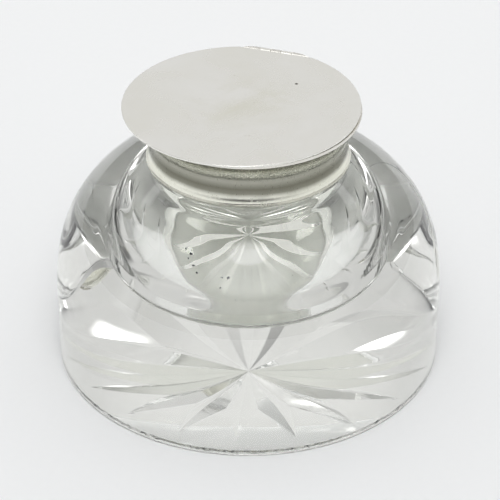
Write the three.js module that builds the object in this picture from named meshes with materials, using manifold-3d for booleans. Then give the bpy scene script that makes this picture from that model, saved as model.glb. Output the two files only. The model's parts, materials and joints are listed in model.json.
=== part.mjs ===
// Squat round glass inkwell with a flush-hinged silver lid.
// Millimetres, +Z up. The origin is the centre of the base, on the surface the well
// stands on. The lid hinges at the rear, which is +Y.
import * as THREE from 'three';
import { mergeVertices } from 'three/addons/utils/BufferGeometryUtils.js';
import { ConvexGeometry } from 'three/addons/geometries/ConvexGeometry.js';
import Module from 'manifold-3d';

const wasm = await Module();
wasm.setup();

// ---- driving dimensions ----
const BASE_R = 50;            // radius of the glass
const WALL_TOP_Z = 17;        // top of the upright wall, where the shoulder starts to curve
const DOME_TOP_Z = 62.2;      // height the shoulder curves up towards
const DOME_MIDDLE_R = -15;    // radius where the shoulder curve would become level
const DOME_POWER = 2.6;       // superellipse power of the shoulder
const SEAT_R = 25.2;          // edge of the ledge that the collar stands on
const NECK_R = 22.6;          // glass neck inside the collar
const NECK_TOP_Z = 66;
const BASE_CHAMFER = 0.8;

// side of the ink well, from the bore of the neck down to the corner of its floor: [radius, height]
const WELL_SIDE = [
  [18, 58], [19.55, 55], [23.2, 52.5], [24.55, 49.5], [26.15, 45.5], [27.75, 40], [28.4, 34],
  [28.05, 28],
];
const WELL_FLOOR_Z = 24.65;
const WELL_CORNER = 1.7;      // radius between the well's side and its floor

const STAR_RAYS = 18;         // mitre cuts in the base
const STAR_TURN_DEG = 4;      // turn of the first ray from +X
const STAR_TIP_R = 39.3;
const STAR_DEPTH = 1.8;       // at the centre, where the rays meet
const STAR_SLOPE = 0.38;      // rise of a cut's sides

const SHEET = 0.7;            // silver sheet
const GAP = 0.3;              // clearance between pieces
const SOLDER_GAP = 0.12;      // between pieces soldered face to face
const COLLAR_FOOT_Z = 57.2;
const RIM_R = 28.3;           // outside of the wire round the collar's rim
const RIM_WIRE = 0.9;         // width and height of that square wire
const RIM_TOP_Z = 70.8;
const PLATE_Z = 69.1;         // underside of the ring plate that closes the collar
const MOUTH_R = 16.9;         // clear radius of the silver mouth
const MOUTH_TUBE_END_Z = 62;
const PLASTER_R = 23.7;

const LID_R = 29.8;
const LID_TOP_Z = 71.9;
const LID_SHIFT = new THREE.Vector2(-1.66, -0.54);  // lid disc's centre from the collar's axis
const BEZEL_R = 16.5;         // ring under the lid that drops into the mouth
const BEZEL_END_Z = 68.4;

const HINGE_Y = 28.5;         // hinge axis, level with the rear edge of the lid
const KNUCKLE_R = 0.85;
const KNUCKLE_BORE_R = 0.5;
const PIN_R = 0.4;
const HINGE_SLIT = 0.12;      // between the lid plate and the knuckles
const KNUCKLE_GAP = 0.15;     // between one knuckle and the next
const KNUCKLE_ENDS = [-12, -5.9, -3.1, -0.3, 2.5, 12];  // the outer two are trimmed by the lid's outline
const PIN_ENDS = [-7.2, 3.9];

const ROUND = 64;             // sides of the large round pieces

// ---- materials ----
const glass = new THREE.MeshStandardMaterial({
  color: 0xdfe5e2, roughness: 0.03, metalness: 0, transparent: true, opacity: 0.35,
});
const plaster = new THREE.MeshStandardMaterial({ color: 0xd9d3c4, roughness: 0.9, metalness: 0 });
const silver = new THREE.MeshStandardMaterial({ color: 0xd6d3cb, roughness: 0.3, metalness: 1 });
const darkSilver = new THREE.MeshStandardMaterial({ color: 0xa8a598, roughness: 0.35, metalness: 1 });
const steel = new THREE.MeshStandardMaterial({ color: 0x8d8b86, roughness: 0.4, metalness: 1 });

// ---- solids ----
function solid(geometry) {
  const g = geometry.clone();
  g.deleteAttribute('normal');
  g.deleteAttribute('uv');
  const merged = mergeVertices(g, 1e-4);
  const pos = merged.attributes.position.array;
  const index = merged.index.array;
  const tris = [];
  for (let i = 0; i < index.length; i += 3) {
    const [a, b, c] = [index[i], index[i + 1], index[i + 2]];
    if (a !== b && b !== c && a !== c) tris.push(a, b, c);
  }
  const [p, q, r] = [new THREE.Vector3(), new THREE.Vector3(), new THREE.Vector3()];
  let volume = 0;
  for (let i = 0; i < tris.length; i += 3) {
    p.fromArray(pos, 3 * tris[i]);
    q.fromArray(pos, 3 * tris[i + 1]);
    r.fromArray(pos, 3 * tris[i + 2]);
    volume += p.dot(q.cross(r));
  }
  if (volume < 0) {
    for (let i = 0; i < tris.length; i += 3) [tris[i + 1], tris[i + 2]] = [tris[i + 2], tris[i + 1]];
  }
  return new wasm.Manifold(new wasm.Mesh({
    numProp: 3, vertProperties: new Float32Array(pos), triVerts: new Uint32Array(tris),
  }));
}

function turned(profile, sides = ROUND) {
  const points = profile.map(([r, z]) => new THREE.Vector2(r, z));
  return solid(new THREE.LatheGeometry(points, sides).rotateX(Math.PI / 2));
}

function ring(profile, sides = ROUND) {
  return turned([...profile, profile[0]], sides);
}

function box(x0, x1, y0, y1, z0, z1) {
  const g = new THREE.BoxGeometry(x1 - x0, y1 - y0, z1 - z0);
  return solid(g.translate((x0 + x1) / 2, (y0 + y1) / 2, (z0 + z1) / 2));
}

// a round bar or tube along X
function barX(x0, x1, r, sides) {
  const g = new THREE.CylinderGeometry(r, r, x1 - x0, sides).rotateZ(Math.PI / 2);
  return solid(g.translate((x0 + x1) / 2, 0, 0));
}

function mesh(name, manifold, material) {
  const { vertProperties, triVerts } = manifold.getMesh();
  const g = new THREE.BufferGeometry();
  g.setAttribute('position', new THREE.BufferAttribute(new Float32Array(vertProperties), 3));
  g.setIndex(new THREE.BufferAttribute(new Uint32Array(triVerts), 1));
  g.computeVertexNormals();
  const m = new THREE.Mesh(g, material);
  m.name = name;
  return m;
}

// ---- glass ----
function domeZ(r) {
  const run = (r - DOME_MIDDLE_R) / (BASE_R - DOME_MIDDLE_R);
  return WALL_TOP_Z + (DOME_TOP_Z - WALL_TOP_Z) * (1 - run ** DOME_POWER) ** (1 / DOME_POWER);
}

// from the top of the wall over the shoulder to the ledge under the collar
function dome(steps) {
  const out = [];
  for (let k = 0; k <= steps; k++) {
    const t = (Math.PI / 2) * (k / steps);
    const r = DOME_MIDDLE_R + (BASE_R - DOME_MIDDLE_R) * Math.cos(t) ** (2 / DOME_POWER);
    if (r > SEAT_R + 0.5) out.push([r, domeZ(r)]);
  }
  return [...out, [SEAT_R, domeZ(SEAT_R)]];
}

function wellCorner(steps) {
  const [sideR] = WELL_SIDE[WELL_SIDE.length - 1];
  const out = [];
  for (let k = 0; k <= steps; k++) {
    const a = (Math.PI / 2) * (k / steps);
    out.push([sideR - WELL_CORNER * (1 - Math.cos(a)), WELL_FLOOR_Z + WELL_CORNER * (1 - Math.sin(a))]);
  }
  return out;
}

// one mitre cut: V-shaped across, running out from the centre and rising to a point
function ray(turn) {
  const points = [new THREE.Vector3(-1, 0, STAR_DEPTH)];
  const halfWidth = STAR_DEPTH / STAR_SLOPE;
  for (const [x, y] of [[-1, halfWidth], [-1, -halfWidth], [STAR_TIP_R, 0]]) {
    points.push(new THREE.Vector3(x, y, 0), new THREE.Vector3(x, y, -1));
  }
  return solid(new ConvexGeometry(points).rotateZ(turn));
}

function glassBody() {
  let body = turned([
    [0, 0], [BASE_R - BASE_CHAMFER, 0], [BASE_R, BASE_CHAMFER], ...dome(20),
    [NECK_R, domeZ(SEAT_R)], [NECK_R, NECK_TOP_Z], [WELL_SIDE[0][0], NECK_TOP_Z],
    ...WELL_SIDE, ...wellCorner(4), [0, WELL_FLOOR_Z],
  ]);
  for (let k = 0; k < STAR_RAYS; k++) {
    body = body.subtract(ray((STAR_TURN_DEG + k * 360 / STAR_RAYS) * Math.PI / 180));
  }
  return body;
}

// ---- collar: spun sheet, concave between its rolled foot and its flared rim ----
const COLLAR_OUTSIDE = [
  [25.5, COLLAR_FOOT_Z], [25.8, 57.7], [25.7, 58.4], [25.15, 59.8], [24.75, 62], [24.75, 64],
  [25.2, 66.3], [26.2, 68], [27.3, 69.2], [28.1, 69.78],
];
const COLLAR_INSIDE = [
  [27.1, 69.78], [25.7, 68.7], [24.6, 66.8], [24.05, 64], [24.05, 62], [24.45, 59.8],
  [24.9, 58.4], [24.8, COLLAR_FOOT_Z],
];

// ---- hinge along the rear chord of the lid, its roll flush with the lid's top ----
const hingeZ = LID_TOP_Z - KNUCKLE_R;

function lidOutline(radius, z0, z1) {
  const disc = turned([[0, z0], [radius, z0], [radius, z1], [0, z1]]);
  return disc.translate([LID_SHIFT.x, LID_SHIFT.y, 0]);
}

function onHinge(manifold) {
  return manifold.translate([0, HINGE_Y, hingeZ]);
}

const rollSpace = onHinge(barX(-14, 12, KNUCKLE_R + GAP, 24));
const rollOutline = lidOutline(LID_R, LID_TOP_Z - 3, LID_TOP_Z + 1);

function knuckle(x0, x1) {
  const tube = barX(x0 + KNUCKLE_GAP / 2, x1 - KNUCKLE_GAP / 2, KNUCKLE_R, 20)
    .subtract(barX(x0 - 1, x1 + 1, KNUCKLE_BORE_R, 16));
  return onHinge(tube).intersect(rollOutline);
}

function lidPlate() {
  const under = LID_TOP_Z - SHEET;
  const disc = turned([[0, under], [LID_R - 0.2, under], [LID_R, under + 0.2],
    [LID_R, LID_TOP_Z - 0.2], [LID_R - 0.2, LID_TOP_Z], [0, LID_TOP_Z]])
    .translate([LID_SHIFT.x, LID_SHIFT.y, 0]);
  const chord = HINGE_Y - KNUCKLE_R - HINGE_SLIT;
  return disc.subtract(box(-40, 40, chord, 40, under - 1, LID_TOP_Z + 1));
}

// ---- the pieces ----
const inkwell = new THREE.Group();
inkwell.name = 'inkwell';

const base = new THREE.Group();
base.add(mesh('glass_body', glassBody(), glass));
base.add(mesh('neck_plaster', ring([
  [NECK_R + GAP, COLLAR_FOOT_Z + 0.4], [PLASTER_R, COLLAR_FOOT_Z + 0.4], [PLASTER_R, 66.8],
  [24.3, PLATE_Z - GAP], [WELL_SIDE[0][0] + 0.4, PLATE_Z - GAP],
  [WELL_SIDE[0][0] + 0.4, NECK_TOP_Z + GAP], [NECK_R + GAP, NECK_TOP_Z + GAP],
]), plaster));
base.add(mesh('collar', ring([...COLLAR_OUTSIDE, ...COLLAR_INSIDE]).subtract(rollSpace), darkSilver));
base.add(mesh('rim_wire', ring([
  [RIM_R - RIM_WIRE, RIM_TOP_Z - RIM_WIRE], [RIM_R, RIM_TOP_Z - RIM_WIRE],
  [RIM_R, RIM_TOP_Z], [RIM_R - RIM_WIRE, RIM_TOP_Z],
]).subtract(rollSpace), silver));
base.add(mesh('mouth_plate', ring([
  [MOUTH_R + SHEET + SOLDER_GAP, PLATE_Z], [25.9, PLATE_Z],
  [26.7, PLATE_Z + SHEET], [MOUTH_R + SHEET + SOLDER_GAP, PLATE_Z + SHEET],
]), silver));
base.add(mesh('mouth_tube', ring([
  [MOUTH_R, MOUTH_TUBE_END_Z], [MOUTH_R + SHEET, MOUTH_TUBE_END_Z],
  [MOUTH_R + SHEET, PLATE_Z + SHEET], [MOUTH_R, PLATE_Z + SHEET],
]), silver));
inkwell.add(base);

const lid = new THREE.Group();
lid.add(mesh('lid_plate', lidPlate(), silver));
lid.add(mesh('lid_bezel', ring([
  [BEZEL_R - 0.6, BEZEL_END_Z], [BEZEL_R, BEZEL_END_Z],
  [BEZEL_R, LID_TOP_Z - SHEET - SOLDER_GAP], [BEZEL_R - 0.6, LID_TOP_Z - SHEET - SOLDER_GAP],
]), silver));
inkwell.add(lid);

const knuckles = [
  ['collar_knuckle_left', base], ['lid_knuckle_left', lid], ['collar_knuckle_middle', base],
  ['lid_knuckle_right', lid], ['collar_knuckle_right', base],
];
knuckles.forEach(([name, group], k) => {
  group.add(mesh(name, knuckle(KNUCKLE_ENDS[k], KNUCKLE_ENDS[k + 1]), silver));
});
base.add(mesh('hinge_pin', onHinge(barX(PIN_ENDS[0], PIN_ENDS[1], PIN_R, 12)), steel));

export default inkwell;
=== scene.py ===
import bpy, bmesh, json, math
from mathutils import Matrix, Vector


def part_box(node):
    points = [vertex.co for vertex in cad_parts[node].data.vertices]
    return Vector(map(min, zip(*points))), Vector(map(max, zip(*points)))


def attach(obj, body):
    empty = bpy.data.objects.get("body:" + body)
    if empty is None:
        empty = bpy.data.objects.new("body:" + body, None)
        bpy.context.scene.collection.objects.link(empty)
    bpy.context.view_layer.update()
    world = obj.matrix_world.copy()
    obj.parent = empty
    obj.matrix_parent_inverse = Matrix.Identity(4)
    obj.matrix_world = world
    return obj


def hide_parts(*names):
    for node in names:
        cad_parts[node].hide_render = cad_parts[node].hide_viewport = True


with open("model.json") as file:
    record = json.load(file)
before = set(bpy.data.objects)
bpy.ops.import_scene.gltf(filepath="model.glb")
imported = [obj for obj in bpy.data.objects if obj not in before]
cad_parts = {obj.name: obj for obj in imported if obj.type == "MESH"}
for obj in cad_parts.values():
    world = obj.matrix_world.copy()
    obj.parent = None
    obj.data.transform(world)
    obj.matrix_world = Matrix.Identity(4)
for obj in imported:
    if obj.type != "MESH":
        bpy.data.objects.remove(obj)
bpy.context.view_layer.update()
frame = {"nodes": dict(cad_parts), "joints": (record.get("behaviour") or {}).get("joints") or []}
scene = bpy.context.scene

MM = 0.001
TURN = 2 * math.pi

# ---- sizes read from the frame, in metres ----
glass_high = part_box("glass_body")[1]
rim_low, rim_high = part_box("rim_wire")
collar_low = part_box("collar")[0]
plate_low, plate_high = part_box("mouth_plate")
tube_low, tube_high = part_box("mouth_tube")
lid_low, lid_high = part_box("lid_plate")
bezel_low, bezel_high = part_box("lid_bezel")
plaster_low, plaster_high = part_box("neck_plaster")
joint = frame["joints"][0]

BASE_R = glass_high[0]
LID_R = (lid_high[0] - lid_low[0]) / 2
LID_X = (lid_high[0] + lid_low[0]) / 2
LID_Y = lid_low[1] + LID_R
LID_TOP = lid_high[2]
LID_UNDER = lid_low[2]
LID_CHORD = lid_high[1] - LID_Y
HINGE = Vector(joint["pos_m"])
ROLL_SPACE = 1.15 * MM
CAMERA_TURN = math.radians(18)


# ---- meshes ----
def new_object(name, verts, faces, smooth_angle=30, material=None):
    """A mesh object with its faces turned outwards and edges over smooth_angle kept sharp."""
    mesh = bpy.data.meshes.new(name)
    mesh.from_pydata(verts, [], faces)
    bm = bmesh.new()
    bm.from_mesh(mesh)
    bmesh.ops.remove_doubles(bm, verts=bm.verts, dist=1e-7)
    bmesh.ops.recalc_face_normals(bm, faces=bm.faces)
    bm.to_mesh(mesh)
    bm.free()
    for face in mesh.polygons:
        face.use_smooth = True
    mesh.set_sharp_from_angle(angle=math.radians(smooth_angle))
    obj = bpy.data.objects.new(name, mesh)
    scene.collection.objects.link(obj)
    if material:
        mesh.materials.append(material)
    return obj


def stitch(faces, lower, upper):
    """Quads between two rings of vertex numbers of the same length."""
    count = len(lower)
    for i in range(count):
        j = (i + 1) % count
        faces.append((lower[i], lower[j], upper[j], upper[i]))


def lathe_ring(name, profile, material, sides=256, shape=None, smooth_angle=30):
    """A closed (r, z) outline in metres turned about the axis. shape moves each finished point."""
    verts, rings, faces = [], [], []
    for r, z in profile:
        rings.append(range(len(verts), len(verts) + sides))
        for i in range(sides):
            a = TURN * i / sides
            point = Vector((r * math.cos(a), r * math.sin(a), z))
            verts.append(shape(point) if shape else point)
    for lower, upper in zip(rings, rings[1:] + rings[:1]):
        stitch(faces, lower, upper)
    return new_object(name, verts, faces, smooth_angle, material)


def arc(r, z, radius, start, end, steps):
    """Points of a circular arc in the (r, z) plane, angles in degrees."""
    out = []
    for k in range(steps + 1):
        a = math.radians(start + (end - start) * k / steps)
        out.append((r + radius * math.cos(a), z + radius * math.sin(a)))
    return out


def spline(points, per_span):
    """A smooth curve through (r, z) points."""
    ends = [points[0]] + list(points) + [points[-1]]
    out = []
    for p0, p1, p2, p3 in zip(ends, ends[1:], ends[2:], ends[3:]):
        for k in range(per_span):
            t = k / per_span
            out.append(tuple(0.5 * (2 * b + (c - a) * t + (2 * a - 5 * b + 4 * c - d) * t * t
                                    + (3 * b - a - 3 * c + d) * t ** 3)
                             for a, b, c, d in zip(p0, p1, p2, p3)))
    return out + [points[-1]]


# ---- glass ----
# every length here is a fraction of BASE_R, and every outline is (radius, height)
WALL_TOP = 0.34
DOME_TOP = 1.244
DOME_MIDDLE_R = -0.30
DOME_POWER = 2.6
SEAT_R = 0.504
NECK_R = 0.452
NECK_TOP = 1.32
WELL_SIDE = [(0.36, 1.16), (0.391, 1.10), (0.464, 1.05), (0.491, 0.99), (0.523, 0.91),
             (0.555, 0.80), (0.568, 0.68), (0.561, 0.56)]
WELL_FLOOR = 0.493
WELL_CORNER = 0.034
RAYS = 18
RAY_TURN = math.radians(4)
RAY_TIP = 0.785
RAY_TIP_SHIFT = 0.035
RAY_DEPTH = 0.036
RAY_BOW = 1.15
RAY_SLOPE = 0.38
BASE_LIFT = 0.006
FOOT_IN = 0.93
SECTOR_STEPS = 16
DOME_STEPS = 110
RING_STEP = 0.015
RING_COUNT = 57


def dome_profile(steps):
    """From the top of the wall over the shoulder to the ledge under the collar."""
    out = []
    for k in range(steps + 1):
        t = math.pi / 2 * k / steps
        r = DOME_MIDDLE_R + (1 - DOME_MIDDLE_R) * math.cos(t) ** (2 / DOME_POWER)
        z = WALL_TOP + (DOME_TOP - WALL_TOP) * math.sin(t) ** (2 / DOME_POWER)
        if r > SEAT_R:
            out.append((r, z))
    return out


def ray_tip(k):
    """The rays are cut by hand, so their tips don't all reach as far from the middle."""
    a = RAY_TURN + TURN * k / RAYS
    return RAY_TIP + RAY_TIP_SHIFT * math.cos(a - CAMERA_TURN) + 0.012 * math.sin(5.3 * k)


def star_cut(k, r, off):
    """Height of mitre cut k above the base at radius r, off from the cut's middle line."""
    run = min(1.0, r / ray_tip(k))
    return max(0.0, RAY_DEPTH * (1 - run ** RAY_BOW) - off * RAY_SLOPE)


def star_ring(r, verts, base_z):
    """One ring of the base; its points follow the edges of the mitre cuts."""
    ring = []
    half = math.pi / RAYS
    inner = SECTOR_STEPS // 2
    for k in range(RAYS):
        width = star_cut(k, r, 0.0) / RAY_SLOPE
        edge = min(0.97, max(0.03, math.asin(min(1, width / r)) / half))
        steps = [edge * j / inner for j in range(inner)]
        steps += [edge + (1 - edge) * j / (SECTOR_STEPS - inner) for j in range(SECTOR_STEPS - inner)]
        for turn in steps + [2.0 - f for f in [1.0] + steps[:0:-1]]:
            off = r * math.sin(half * min(turn, 2 - turn))
            ray = k if turn < 1 else (k + 1) % RAYS
            a = RAY_TURN + half * (2 * k + turn)
            ring.append(len(verts))
            verts.append(Vector((r * math.cos(a), r * math.sin(a), base_z + star_cut(ray, r, off))) * BASE_R)
    return ring


def make_glass(material):
    """Star-cut base, wall, shoulder, neck and ink well as one closed skin."""
    verts, faces = [Vector((0, 0, BASE_LIFT + RAY_DEPTH)) * BASE_R], []
    radii = [0.01 + RING_STEP * k for k in range(RING_COUNT)] + [0.885, 0.905]
    rings = [star_ring(r, verts, BASE_LIFT) for r in radii]
    first = rings[0]
    for i in range(len(first)):
        faces.append((0, first[i], first[(i + 1) % len(first)]))
    dome = dome_profile(DOME_STEPS)
    seat_z = dome[-1][1]
    bore = WELL_SIDE[0][0]
    corner_r, corner_z = WELL_SIDE[-1][0] - WELL_CORNER, WELL_FLOOR + WELL_CORNER
    profile = [(FOOT_IN, BASE_LIFT), (FOOT_IN + 0.012, 0.0), (0.975, 0.0)]
    profile += arc(0.984, 0.016, 0.016, -75, 0, 8)
    profile += dome
    profile += [(NECK_R + 0.01, seat_z), (NECK_R, seat_z + 0.01), (NECK_R, NECK_TOP - 0.012)]
    profile += [(NECK_R - 0.012, NECK_TOP), (bore + 0.012, NECK_TOP), (bore, NECK_TOP - 0.012)]
    profile += spline(WELL_SIDE, 10) + arc(corner_r, corner_z, WELL_CORNER, 0, -90, 8)
    profile += [(corner_r * k / 8, WELL_FLOOR) for k in range(7, 0, -1)]
    sides = 2 * RAYS * SECTOR_STEPS
    for r, z in profile:
        ring = []
        for i in range(sides):
            a = RAY_TURN + TURN * i / sides
            ring.append(len(verts))
            verts.append(Vector((r * math.cos(a), r * math.sin(a), z)) * BASE_R)
        rings.append(ring)
    for lower, upper in zip(rings, rings[1:]):
        stitch(faces, lower, upper)
    verts.append(Vector((0, 0, WELL_FLOOR)) * BASE_R)
    last = rings[-1]
    for i in range(sides):
        faces.append((last[i], last[(i + 1) % sides], len(verts) - 1))
    return new_object("glass", verts, faces, 14, material)


# ---- silver ----
def collar_outline():
    """Spun band: rolled foot, concave waist, crease under a flared rim. (r, height over the foot) in mm."""
    outside = arc(25.3, 0.42, 0.42, -90, 40, 8)
    outside += spline([(25.42, 0.95), (25.3, 1.5), (25.0, 2.6), (24.78, 4.2), (24.72, 5.8),
                       (24.78, 7.2), (24.95, 8.1)], 6)
    outside += spline([(25.1, 8.35), (25.7, 9.6), (26.5, 10.9), (27.4, 12.0), (28.1, 12.56)], 6)
    inside = [(27.2, 12.56), (26.4, 11.9), (25.3, 10.4), (24.5, 8.6), (24.08, 7.2), (24.05, 5.0),
              (24.3, 3.0), (24.7, 1.2), (24.8, 0.2), (25.0, 0.0)]
    return [(r * MM, collar_low[2] + z * MM) for r, z in outside + inside]


def spun(point):
    """Collar wall slightly out of true, as old spun silver is."""
    a = math.atan2(point.y, point.x)
    r = math.hypot(point.x, point.y)
    dent = 0.07 * math.sin(2 * a + 0.6) + 0.05 * math.sin(3 * a + 2.1) + 0.03 * math.sin(7 * a + 1.0)
    k = 1 + dent * MM / r
    return Vector((point.x * k, point.y * k, point.z + 0.03 * MM * math.sin(3 * a)))


def clear_of_roll(point):
    """Pushes a point out of the round space that the hinge knuckles turn in."""
    dy, dz = point.y - HINGE.y, point.z - HINGE.z
    away = math.hypot(dy, dz)
    if away < ROLL_SPACE and away > 1e-9:
        point = Vector((point.x, HINGE.y + dy * ROLL_SPACE / away, HINGE.z + dz * ROLL_SPACE / away))
    return point


def square_ring(r0, r1, z0, z1, round_r, steps=3, splits=1):
    """Outline of a ring of rectangular section with rounded edges."""
    out = []
    for r, z, start in ((r1, z0, -90), (r1, z1, 0), (r0, z1, 90), (r0, z0, 180)):
        cr = r - round_r if r == r1 else r + round_r
        cz = z + round_r if z == z0 else z - round_r
        out += arc(cr, cz, round_r, start, start + 90, steps)
    if splits > 1:
        fine = []
        for (ra, za), (rb, zb) in zip(out, out[1:] + out[:1]):
            n = splits if math.hypot(rb - ra, zb - za) > 2.5 * round_r else 1
            fine += [(ra + (rb - ra) * k / n, za + (zb - za) * k / n) for k in range(n)]
        out = fine
    return out


LID_SIDES = 320
LID_RINGS = 40
LID_EDGE = 0.16 * MM
LID_TOP_SPARE = 0.07 * MM
LID_UNDER_SPARE = 0.05 * MM


def lid_reach(a):
    """Distance from the lid's centre to its edge in direction a. The rear is cut off by a chord."""
    chord = LID_CHORD / math.sin(a) if math.sin(a) > 0.1 else 1.0
    return min(LID_R, chord)


def lid_wave(x, y):
    """Faint dishing and hand-finished waviness of the lid's sheet, in metres."""
    u, v = x / LID_R, y / LID_R
    dish = -0.05 * (u * u + v * v)
    wave = 0.016 * math.sin(5.1 * u + 1.7 * v + 0.4) + 0.012 * math.sin(7.3 * v - 3.1 * u + 1.9)
    wave += 0.02 * math.cos(3.3 * u * v + 2.2 * v)
    return (dish + wave) * MM


def make_lid(material):
    """Flat sheet disc with softened edges."""
    corner = math.asin(LID_CHORD / LID_R)
    angles = [TURN * i / LID_SIDES for i in range(LID_SIDES)]
    angles = sorted(a for a in angles if min(abs(a - corner), abs(a - math.pi + corner)) > 0.004)
    angles = sorted(angles + [corner, math.pi - corner])
    verts, faces, rings = [], [], []
    top, under, edge = LID_TOP - LID_TOP_SPARE, LID_UNDER + LID_UNDER_SPARE, LID_EDGE
    # each layer: share of the reach, offset from it, height, and how much of the waviness it takes
    layers = [(k / LID_RINGS, 0.0, top, 1) for k in range(1, LID_RINGS)]
    for degrees in (0, 30, 60, 90):
        bend = math.radians(degrees)
        offset = -edge * (1 - math.sin(bend))
        layers.append((1.0, offset, top - edge * (1 - math.cos(bend)), 1 - degrees / 90))
    layers += [(1.0, 0.0, under + edge, 0), (1.0, -edge * 0.3, under + edge * 0.3, 0)]
    layers.append((1.0, -edge, under, 0))
    layers += [(k / 8, 0.0, under, 0) for k in range(7, 0, -1)]
    for share, inset, z, wave in layers:
        ring = []
        for a in angles:
            r = (lid_reach(a) + inset) * share
            x, y = r * math.cos(a), r * math.sin(a)
            lift = lid_wave(x, y) if wave > 0 else 0.0
            ring.append(len(verts))
            verts.append(Vector((LID_X + x, LID_Y + y, z + lift * wave)))
        rings.append(ring)
    for lower, upper in zip(rings, rings[1:]):
        stitch(faces, lower, upper)
    for ring, z in ((rings[0], top + lid_wave(0, 0)), (rings[-1], under)):
        verts.append(Vector((LID_X, LID_Y, z)))
        for i in range(len(ring)):
            faces.append((ring[i], ring[(i + 1) % len(ring)], len(verts) - 1))
    return new_object("lid_disc", verts, faces, 40, material)


def make_plaster(material):
    """Rough bedding plaster between the glass neck and the collar."""
    r0, z0, z1 = NECK_R * BASE_R + 0.3 * MM, plaster_low[2], plaster_high[2]
    bore = WELL_SIDE[0][0] * BASE_R + 0.4 * MM
    neck_top = NECK_TOP * BASE_R + 0.3 * MM
    outline = [(r0, z0), (23.6 * MM, z0), (23.7 * MM, z0 + 4 * MM), (23.7 * MM, z1 - 2 * MM),
               (24.2 * MM, z1), (bore, z1), (bore, neck_top), (r0, neck_top)]
    return lathe_ring("plaster_bedding", outline, material, 128)


# ---- materials ----
# dried ink on the well's front: degrees round from the camera's side, height and half width in mm
INK_SPECKS = [(-31, 42.0, 0.25), (-28, 41.2, 0.3), (-29, 40.0, 0.25), (-26, 38.6, 0.28),
              (-24, 37.2, 0.3), (-17, 39.8, 0.15), (-12, 37.2, 0.25), (-9, 37.4, 0.42),
              (-12.5, 34.6, 0.22), (-6, 32.0, 0.15), (11, 36.4, 0.18), (20, 37.0, 0.2)]
SPECK_SHAKE = 0.9 * MM
# the collar's painted light over its tarnish: height over its foot in mm, and a brightness from 0, black
# tarnish darkened further as painted shade in the waist and crease, to 1, painted highlight bands on the
# foot roll and flare
COLLAR_TARNISH_AND_LIGHT = [(0.0, 0.4), (0.8, 1.0), (2.2, 1.0), (3.4, 0.2), (4.6, 0.1), (6.4, 0.35),
                (7.7, 0.35), (8.3, 0.9), (9.3, 1.0), (10.4, 0.8), (11.6, 1.0), (12.3, 0.4)]
# the lid's pit: its place in shares of the lid's radius, and its size
PIT = (0.34, 0.46)
PIT_R = 0.35 * MM
SILVER_GRAIN = 0.03 * MM


class Nodes:
    """Short way to write a material's nodes."""

    def __init__(self, name):
        self.material = bpy.data.materials.new(name)
        self.material.use_nodes = True
        self.tree = self.material.node_tree
        self.shader = self.tree.nodes["Principled BSDF"]
        self.coords = self.tree.nodes.new("ShaderNodeTexCoord").outputs["Object"]

    def add(self, kind, inputs=None, **settings):
        node = self.tree.nodes.new("ShaderNode" + kind)
        for key, value in settings.items():
            setattr(node, key, value)
        for key, value in (inputs or {}).items():
            self.feed(value, node.inputs[key])
        return node

    def feed(self, value, socket):
        if isinstance(value, bpy.types.NodeSocket):
            self.tree.links.new(value, socket)
        else:
            socket.default_value = value

    def placed(self, scale, turn=(0, 0, 0), move=(0, 0, 0)):
        """Object coordinates, moved, turned and scaled."""
        inputs = {"Vector": self.coords, "Scale": scale, "Rotation": turn, "Location": move}
        return self.add("Mapping", inputs).outputs[0]

    def noise(self, vector, scale, detail=4.0, rough=0.55, distortion=0.0):
        node = self.add("TexNoise", {"Vector": vector, "Scale": scale, "Detail": detail,
                                     "Roughness": rough, "Distortion": distortion})
        return node.outputs["Fac"]

    def range(self, value, low, high, to_low=0.0, to_high=1.0):
        node = self.add("MapRange", {"Value": value, "From Min": low, "From Max": high,
                                     "To Min": to_low, "To Max": to_high})
        return node.outputs["Result"]

    def math(self, operation, a, b=0.0):
        return self.add("Math", {0: a, 1: b}, operation=operation).outputs[0]

    def product(self, *values):
        total = values[0]
        for value in values[1:]:
            total = self.math("MULTIPLY", total, value)
        return total

    def distance(self, vector, place):
        """Distance of a vector socket from a fixed place."""
        node = self.add("VectorMath", {0: vector, 1: place}, operation="DISTANCE")
        return node.outputs["Value"]

    def mix(self, factor, a, b):
        node = self.add("Mix", data_type="RGBA")
        self.feed(factor, node.inputs["Factor"])
        self.feed(a, node.inputs[6])
        self.feed(b, node.inputs[7])
        return node.outputs[2]

    def bump(self, height, strength, distance, normal=None):
        inputs = {"Height": height, "Strength": strength, "Distance": distance}
        if normal is not None:
            inputs["Normal"] = normal
        return self.add("Bump", inputs).outputs[0]

    def by_height(self, tarnish_and_light_bands, cloud):
        """A value that follows (height, value) pairs, its edges broken up by a cloudy noise."""
        height = self.add("SeparateXYZ", {0: self.coords}).outputs[2]
        height = self.math("ADD", height, self.range(cloud, 0.3, 0.7, -0.4 * MM, 0.4 * MM))
        low, high = tarnish_and_light_bands[0][0], tarnish_and_light_bands[-1][0]
        ramp = self.add("ValToRGB")
        curve = ramp.color_ramp.elements
        for k, (z, value) in enumerate(tarnish_and_light_bands):
            place = (z - low) / (high - low)
            stop = curve[k] if k < 2 else curve.new(place)
            stop.position = place
            stop.color = (value, value, value, 1)
        self.feed(self.range(height, low, high), ramp.inputs[0])
        return ramp.outputs[0]

    def radius(self):
        """Distance from the upright axis, and height, in metres."""
        xyz = self.add("SeparateXYZ", {0: self.coords})
        x_square = self.math("POWER", xyz.outputs[0], 2.0)
        y_square = self.math("POWER", xyz.outputs[1], 2.0)
        return self.math("SQRT", self.math("ADD", x_square, y_square)), xyz.outputs[2]


def scratches(n, scale, threshold, turns):
    """Sparse fine straight hairlines, 0 to 1, running in a few directions."""
    total = None
    for k, turn in enumerate(turns):
        along = n.placed((scale, scale * 0.012, scale * 0.5), (0, 0, turn), (0.013 * k, 0.007 * k, 0))
        line = n.range(n.noise(along, 60.0, 2.0, 0.5), threshold, threshold + 0.035)
        total = line if total is None else n.math("MAXIMUM", total, line)
    return total


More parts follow.
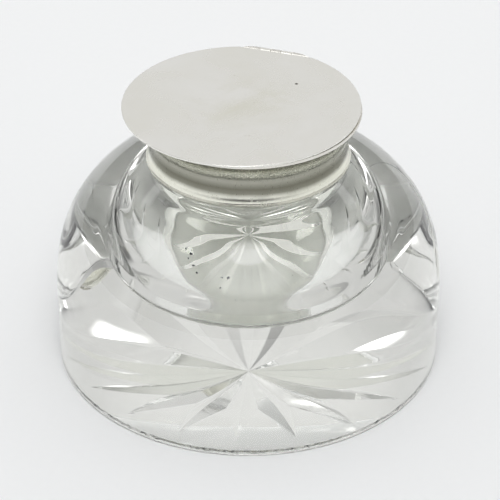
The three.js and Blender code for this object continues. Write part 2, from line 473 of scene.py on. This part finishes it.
def darkest_tarnish_and_shade(dark):
    """The colour of the blackest tarnish, also used for the painted shade in the collar's bands."""
    return (dark[0] * 0.17, dark[1] * 0.165, dark[2] * 0.14, 1)


def silver_material(name, light, dark, rough, tarnish, bump=0.1, tarnish_and_light_bands=None):
    """Old silver: cloudy tarnish with fine scratches. Optional bands set a brightness for each height:
    painted highlights and painted shade over the tarnish.
    """
    n = Nodes(name)
    cloud = n.noise(n.placed((1, 1, 1)), 38.0, 6.0, 0.6, 0.3)
    fine = n.noise(n.placed((1, 1, 1)), 420.0, 3.0, 0.6)
    lines = scratches(n, 30.0, 0.66, (0.3, 1.25, 2.3))
    spots = n.range(n.noise(n.placed((1, 1, 1), (0, 0, 0), (0.3, 0.1, 0.2)), 300.0, 2.0, 0.4), 0.70, 0.76)
    veil = n.math("MULTIPLY", n.range(cloud, 0.38, 0.68), tarnish)
    colour = n.mix(veil, light, dark)
    spot_colour = (dark[0] * 0.6, dark[1] * 0.55, dark[2] * 0.5, 1)
    colour = n.mix(n.math("MULTIPLY", spots, 0.35 * tarnish), colour, spot_colour)
    if tarnish_and_light_bands:
        # painted highlight and painted shade bands by height, blended over the tarnish colour
        colour = n.mix(n.by_height(tarnish_and_light_bands, cloud), darkest_tarnish_and_shade(dark), colour)
    n.feed(colour, n.shader.inputs["Base Color"])
    n.shader.inputs["Metallic"].default_value = 1.0
    cloudy = n.range(cloud, 0.3, 0.75, rough - 0.04, rough + 0.08)
    roughness = n.math("ADD", cloudy, n.math("MULTIPLY", lines, 0.12))
    n.feed(roughness, n.shader.inputs["Roughness"])
    height = n.math("ADD", n.math("MULTIPLY", fine, 0.4), n.math("MULTIPLY", lines, -0.6))
    n.feed(n.bump(height, bump, SILVER_GRAIN), n.shader.inputs["Normal"])
    return n.material


def collar_material():
    """Dull olive tarnish, darkened with painted shade in the collar's waist and crease, with painted
    highlight bands on its foot and flare.
    """
    # heights of the collar's painted highlight and shade bands over its tarnish
    tarnish_and_light_heights = [(collar_low[2] + z * MM, value) for z, value in COLLAR_TARNISH_AND_LIGHT]
    light, dark = (0.95, 0.945, 0.85, 1), (0.66, 0.66, 0.54, 1)
    return silver_material("collar_silver", light, dark, 0.2, 0.6, 0.05, tarnish_and_light_heights)


def well_radius(z):
    """Radius of the well's wall at height z, both as shares of BASE_R."""
    for (r0, z0), (r1, z1) in zip(WELL_SIDE, WELL_SIDE[1:]):
        if z1 <= z <= z0:
            return r0 + (r1 - r0) * (z - z0) / (z1 - z0)
    return WELL_SIDE[-1][0]


def ink_specks(n, whole):
    """Dried specks of ink with ragged edges on the front of the well's wall, 0 to 1."""
    wobble = n.add("TexNoise", {"Vector": whole, "Scale": 1500.0, "Detail": 2.0}).outputs["Color"]
    shake = n.add("VectorMath", {0: wobble, 1: (0.5, 0.5, 0.5)}, operation="SUBTRACT").outputs[0]
    inputs = {0: shake, 1: (SPECK_SHAKE, SPECK_SHAKE, SPECK_SHAKE), 2: n.coords}
    ragged = n.add("VectorMath", inputs, operation="MULTIPLY_ADD").outputs[0]
    total = None
    for turn, height, size in INK_SPECKS:
        a = CAMERA_TURN - math.pi / 2 + math.radians(turn)
        z = height * MM
        r = well_radius(z / BASE_R) * BASE_R
        far = n.distance(ragged, (r * math.cos(a), r * math.sin(a), z))
        speck = n.range(far, size * 1.15 * MM, size * 0.9 * MM)
        total = speck if total is None else n.math("MAXIMUM", total, speck)
    return total


def foot_scuffs(n, r, low, ground):
    """Scuffs on the ring that the glass stands on, 0 to 1."""
    patchy = n.noise(n.placed((1, 1, 1), (0, 0, 0), (0.05, 0.02, 0)), 90.0, 4.0, 0.6)
    inner = n.range(r, 0.918 * BASE_R, 0.93 * BASE_R)
    outer = n.range(r, 0.962 * BASE_R, 0.948 * BASE_R)
    return n.product(inner, outer, low, n.range(ground, 0.50, 0.58), n.range(patchy, 0.36, 0.52))


def ground_cuts(n, r, z):
    """Roughness of the star's ground faces, streaked along each ray."""
    over_base = n.range(z, 0.4 * MM, 0.7 * MM)
    under_well = n.range(z, 3.0 * MM, 2.6 * MM)
    inside = n.range(r, 0.88 * BASE_R, 0.86 * BASE_R)
    xyz = n.add("SeparateXYZ", {0: n.coords})
    turn = n.math("ARCTAN2", xyz.outputs[1], xyz.outputs[0])
    across, along = n.math("MULTIPLY", turn, 22.0), n.math("MULTIPLY", r, 120.0)
    place = n.add("CombineXYZ", {0: across, 1: along, 2: 0.0}).outputs[0]
    streaks = n.noise(place, 3.0, 3.0, 0.6)
    return n.product(over_base, under_well, inside, n.range(streaks, 0.4, 0.7, 0.0, 0.10))


def glass_material():
    """Clear lead glass: ground star cuts, a scuffed foot, and dried ink in the well."""
    n = Nodes("clear_glass")
    shader = n.shader
    shader.inputs["Base Color"].default_value = (0.980, 0.988, 0.950, 1)
    shader.inputs["Transmission Weight"].default_value = 1.0
    shader.inputs["IOR"].default_value = 1.53
    whole = n.placed((1, 1, 1))
    r, z = n.radius()
    ground = n.noise(whole, 900.0, 3.0, 0.6)
    low = n.range(z, 1.2 * MM, 0.5 * MM)
    scuffs = foot_scuffs(n, r, low, ground)
    edge = n.product(n.range(r, 0.962 * BASE_R, 0.972 * BASE_R), low)
    marks = n.product(scratches(n, 26.0, 0.70, (0.9, 2.2)), n.range(r, 0.86 * BASE_R, 0.9 * BASE_R))
    rough = n.math("ADD", n.math("MULTIPLY", scuffs, 0.5), n.math("MULTIPLY", marks, 0.12))
    rough = n.math("ADD", rough, ground_cuts(n, r, z))
    rough = n.math("ADD", rough, n.math("MULTIPLY", edge, 0.35))
    n.feed(rough, shader.inputs["Roughness"])
    waves = n.bump(n.noise(whole, 22.0, 2.0, 0.5), 0.06, 1.2 * MM)
    chipped = n.bump(n.math("MULTIPLY", scuffs, ground), 0.5, 0.08 * MM, waves)
    n.feed(chipped, shader.inputs["Normal"])
    dirt = n.math("MAXIMUM", n.math("MULTIPLY", scuffs, 0.8), ink_specks(n, whole))
    ink_colour = n.mix(ground, (0.015, 0.018, 0.035, 1), (0.05, 0.05, 0.06, 1))
    ink = n.add("BsdfDiffuse", {"Color": ink_colour})
    both = n.add("MixShader", {0: dirt, 1: shader.outputs[0], 2: ink.outputs[0]})
    n.tree.links.new(both.outputs[0], n.tree.nodes["Material Output"].inputs["Surface"])
    return n.material


def plaster_material():
    """Gritty off-white plaster."""
    n = Nodes("bedding_plaster")
    grit = n.noise(n.placed((1, 1, 1)), 700.0, 5.0, 0.65)
    n.feed(n.mix(grit, (0.62, 0.58, 0.48, 1), (0.86, 0.83, 0.75, 1)), n.shader.inputs["Base Color"])
    n.shader.inputs["Roughness"].default_value = 0.95
    n.feed(n.bump(grit, 0.5, 0.2 * MM), n.shader.inputs["Normal"])
    return n.material


def lid_material():
    """The lid's satin silver: a warm cloudy patch in the middle, brushed grain and a small pit."""
    n = Nodes("lid_silver")
    whole = n.placed((1, 1, 1))
    cloud = n.noise(whole, 55.0, 5.0, 0.6, 0.4)
    middle = n.distance(n.coords, (LID_X, LID_Y, LID_TOP))
    patch = n.math("MULTIPLY", n.range(middle, 16 * MM, 5 * MM), n.range(cloud, 0.40, 0.62))
    veil = n.math("ADD", n.range(cloud, 0.35, 0.75, 0.0, 0.35), n.math("MULTIPLY", patch, 0.5))
    colour = n.mix(veil, (0.93, 0.92, 0.88, 1), (0.80, 0.785, 0.67, 1))
    brushed = n.noise(n.placed((1, 0.03, 1), (0, 0, 0.9)), 900.0, 2.0, 0.5)
    specks = n.range(n.noise(whole, 700.0, 2.0, 0.5), 0.74, 0.79)
    colour = n.mix(n.math("MULTIPLY", specks, 0.35), colour, (0.40, 0.37, 0.30, 1))
    pit_place = (LID_X + PIT[0] * LID_R, LID_Y + PIT[1] * LID_R, LID_TOP)
    pit = n.range(n.distance(n.coords, pit_place), PIT_R * 1.5, PIT_R * 0.8)
    colour = n.mix(pit, colour, (0.12, 0.11, 0.09, 1))
    n.feed(colour, n.shader.inputs["Base Color"])
    n.shader.inputs["Metallic"].default_value = 1.0
    cloudy = n.range(cloud, 0.3, 0.75, 0.22, 0.32)
    rough = n.math("ADD", cloudy, n.range(brushed, 0.4, 0.65, 0.0, 0.006))
    n.feed(rough, n.shader.inputs["Roughness"])
    grain = n.bump(n.noise(whole, 420.0, 3.0, 0.6), 0.015, SILVER_GRAIN)
    sunk = n.bump(n.math("MULTIPLY", pit, -3.0), 0.04, SILVER_GRAIN, grain)
    n.feed(sunk, n.shader.inputs["Normal"])
    return n.material


glass = glass_material()
plaster = plaster_material()
lid_silver = lid_material()
collar_silver = collar_material()
plain_silver = silver_material("plain_silver", (0.9, 0.885, 0.84, 1), (0.6, 0.57, 0.5, 1), 0.22, 0.6)

# ---- the pieces ----
RIM_WIDTH = 0.9 * MM
PLATE_GAP = 0.3 * MM
SOLDER_GAP = 0.12 * MM
TUBE_WALL = 0.7 * MM
BEZEL_WALL = 0.6 * MM

glass_block = make_glass(glass)
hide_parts("glass_body")

bedding = make_plaster(plaster)
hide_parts("neck_plaster")

collar = lathe_ring("collar_band", collar_outline(), collar_silver, 256, spun)
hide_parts("collar")

rim_section = square_ring(rim_high[0] - RIM_WIDTH, rim_high[0], rim_low[2], rim_high[2],
                          0.14 * MM, 3, 4)
rim = lathe_ring("rim_edge", rim_section, plain_silver, 512, clear_of_roll, 40)
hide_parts("rim_wire")

tube_r = tube_high[0]
plate_section = square_ring(tube_r + SOLDER_GAP, plate_high[0] - PLATE_GAP,
                            plate_low[2], plate_high[2], 0.1 * MM)
plate = lathe_ring("mouth_ring", plate_section, plain_silver, 192)
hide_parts("mouth_plate")

tube_section = square_ring(tube_r - TUBE_WALL, tube_r, tube_low[2], tube_high[2], 0.15 * MM)
tube = lathe_ring("mouth_sleeve", tube_section, plain_silver, 192)
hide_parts("mouth_tube")

lid_disc = make_lid(lid_silver)
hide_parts("lid_plate")

bezel_section = square_ring(bezel_high[0] - BEZEL_WALL, bezel_high[0], bezel_low[2], bezel_high[2],
                            0.12 * MM)
bezel = lathe_ring("lid_locating_ring", bezel_section, plain_silver, 192)
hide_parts("lid_bezel")

for piece in (glass_block, bedding, collar, rim, plate, tube):
    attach(piece, "base")
for piece in (lid_disc, bezel):
    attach(piece, "lid")

for name, node in frame["nodes"].items():
    if "knuckle" in name or name == "hinge_pin":
        node.data.materials.clear()
        node.data.materials.append(lid_silver if name.startswith("lid") else plain_silver)


# ---- floor, light and camera ----
FLOOR_HALF = 3.0
FLOOR_DROP = 0.04 * MM


def make_floor():
    """Plain pale floor, a hair under the glass's foot so that their faces don't coincide."""
    size, z = FLOOR_HALF, -FLOOR_DROP
    verts = [(-size, -size, z), (size, -size, z), (size, size, z), (-size, size, z)]
    n = Nodes("pale_floor")
    tooth = n.noise(n.placed((1, 1, 1)), 500.0, 3.0, 0.6)
    colour = n.mix(tooth, (0.83, 0.838, 0.843, 1), (0.85, 0.858, 0.863, 1))
    n.feed(colour, n.shader.inputs["Base Color"])
    n.shader.inputs["Roughness"].default_value = 0.9
    n.shader.inputs["Specular IOR Level"].default_value = 0.0
    floor = new_object("floor", verts, [(0, 1, 2, 3)], 30, n.material)


# the camera's rise is in radians; its distance and where it aims are shares of BASE_R
CAMERA_RISE = 0.6290
CAMERA_AWAY = 11.516
AIM_SIDE = 0.0081
AIM_HEIGHT = 0.5614
LENS = 155.3


def make_camera():
    """Stands to the front right, opposite the hinge, and looks down at the well."""
    toward = Vector((math.sin(CAMERA_TURN), -math.cos(CAMERA_TURN), 0))
    side = Vector((math.cos(CAMERA_TURN), math.sin(CAMERA_TURN), 0))
    place = toward * math.cos(CAMERA_RISE) + Vector((0, 0, math.sin(CAMERA_RISE)))
    place = place * CAMERA_AWAY * BASE_R
    aim = (side * AIM_SIDE + Vector((0, 0, AIM_HEIGHT))) * BASE_R
    data = bpy.data.cameras.new("camera")
    data.sensor_width = 36
    data.lens = LENS
    data.clip_start = 0.01
    camera = bpy.data.objects.new("camera", data)
    scene.collection.objects.link(camera)
    camera.location = place
    camera.rotation_mode = "QUATERNION"
    camera.rotation_quaternion = (aim - place).to_track_quat("-Z", "Y")
    scene.camera = camera


# light levels, the angles above the horizon that they come from, and how far each one reaches;
# the strips are also turned to each side and have a width and a soft edge
ROOM = 0.63
HORIZON = -0.27
BACKDROP = 0.12
BACKDROP_RISE = math.radians(35)
BACKDROP_REACH = math.radians(40)
SHADE = -0.50
SHADE_RISE = math.radians(14)
SHADE_REACH = math.radians(38)
KEY_RISE = math.radians(57)
KEY_REACH = math.radians(25)
KEY_LEVEL = 3.2
LAMP_RISE = math.radians(73)
LAMP_REACH = math.radians(11)
LAMP_LEVEL = 4.5
STRIP_TURN = math.radians(43)
STRIP_HALF = math.sin(math.radians(12))
STRIP_LOW = math.radians(41)
STRIP_HIGH = math.radians(46)
STRIP_SOFT = 0.03
STRIP_LEVEL = 1.8


def make_world():
    """A pale room with a dim horizon, a soft light and a lamp high in front, and two strips behind."""
    away = Vector((-math.sin(CAMERA_TURN), math.cos(CAMERA_TURN), 0))
    side = Vector((math.cos(CAMERA_TURN), math.sin(CAMERA_TURN), 0))
    up = Vector((0, 0, 1))
    world = bpy.data.worlds.new("studio")
    scene.world = world
    world.use_nodes = True
    tree = world.node_tree
    background = tree.nodes["Background"]
    coords = tree.nodes.new("ShaderNodeTexCoord").outputs["Generated"]

    def along(direction, low, high, to_low, to_high):
        """A smooth step in how far the view looks along a direction."""
        dot = tree.nodes.new("ShaderNodeVectorMath")
        dot.operation = "DOT_PRODUCT"
        tree.links.new(coords, dot.inputs[0])
        dot.inputs[1].default_value = direction
        step = tree.nodes.new("ShaderNodeMapRange")
        step.interpolation_type = "SMOOTHSTEP"
        tree.links.new(dot.outputs["Value"], step.inputs["Value"])
        step.inputs["From Min"].default_value = low
        step.inputs["From Max"].default_value = high
        step.inputs["To Min"].default_value = to_low
        step.inputs["To Max"].default_value = to_high
        return step.outputs["Result"]

    def combine(a, b, operation):
        node = tree.nodes.new("ShaderNodeMath")
        node.operation = operation
        tree.links.new(a, node.inputs[0])
        tree.links.new(b, node.inputs[1])
        return node.outputs[0]

    def times(a, b):
        return combine(a, b, "MULTIPLY")

    def strip(turn):
        """A long low lamp behind the inkwell, turned to one side of the camera's line."""
        flat = away * math.cos(turn) + side * math.sin(turn)
        across = flat.cross(up)
        low, high = math.sin(STRIP_LOW), math.sin(STRIP_HIGH)
        total = along(flat, 0.0, 0.1, 0.0, STRIP_LEVEL)
        total = times(total, along(across, -STRIP_HALF, -STRIP_HALF * 0.4, 0.0, 1.0))
        total = times(total, along(across, STRIP_HALF * 0.4, STRIP_HALF, 1.0, 0.0))
        total = times(total, along(up, low - STRIP_SOFT, low, 0.0, 1.0))
        return times(total, along(up, high - STRIP_SOFT, high, 1.0, 0.0))

    def lobe(rise, toward, reach, core, level):
        """Brighter or dimmer round one direction, out to the angle reach."""
        direction = away * (toward * math.cos(rise)) + up * math.sin(rise)
        return along(direction, math.cos(reach), math.cos(core * reach), 0.0, level)

    parts = [
        along(up, 0.05, 0.30, ROOM + HORIZON, ROOM),
        lobe(BACKDROP_RISE, 1, BACKDROP_REACH, 0.3, BACKDROP),
        lobe(SHADE_RISE, -1, SHADE_REACH, 0.4, SHADE),
        lobe(KEY_RISE, -1, KEY_REACH, 0.55, KEY_LEVEL),
        lobe(LAMP_RISE, -1, LAMP_REACH, 0.6, LAMP_LEVEL),
        strip(STRIP_TURN),
        strip(-STRIP_TURN),
    ]
    total = parts[0]
    for part in parts[1:]:
        total = combine(total, part, "ADD")
    tree.links.new(total, background.inputs[0])
    background.inputs[1].default_value = 1.0


make_floor()
make_camera()
make_world()
scene.view_settings.view_transform = "Standard"
scene.cycles.max_bounces = 24
scene.cycles.transmission_bounces = 24
scene.cycles.glossy_bounces = 12
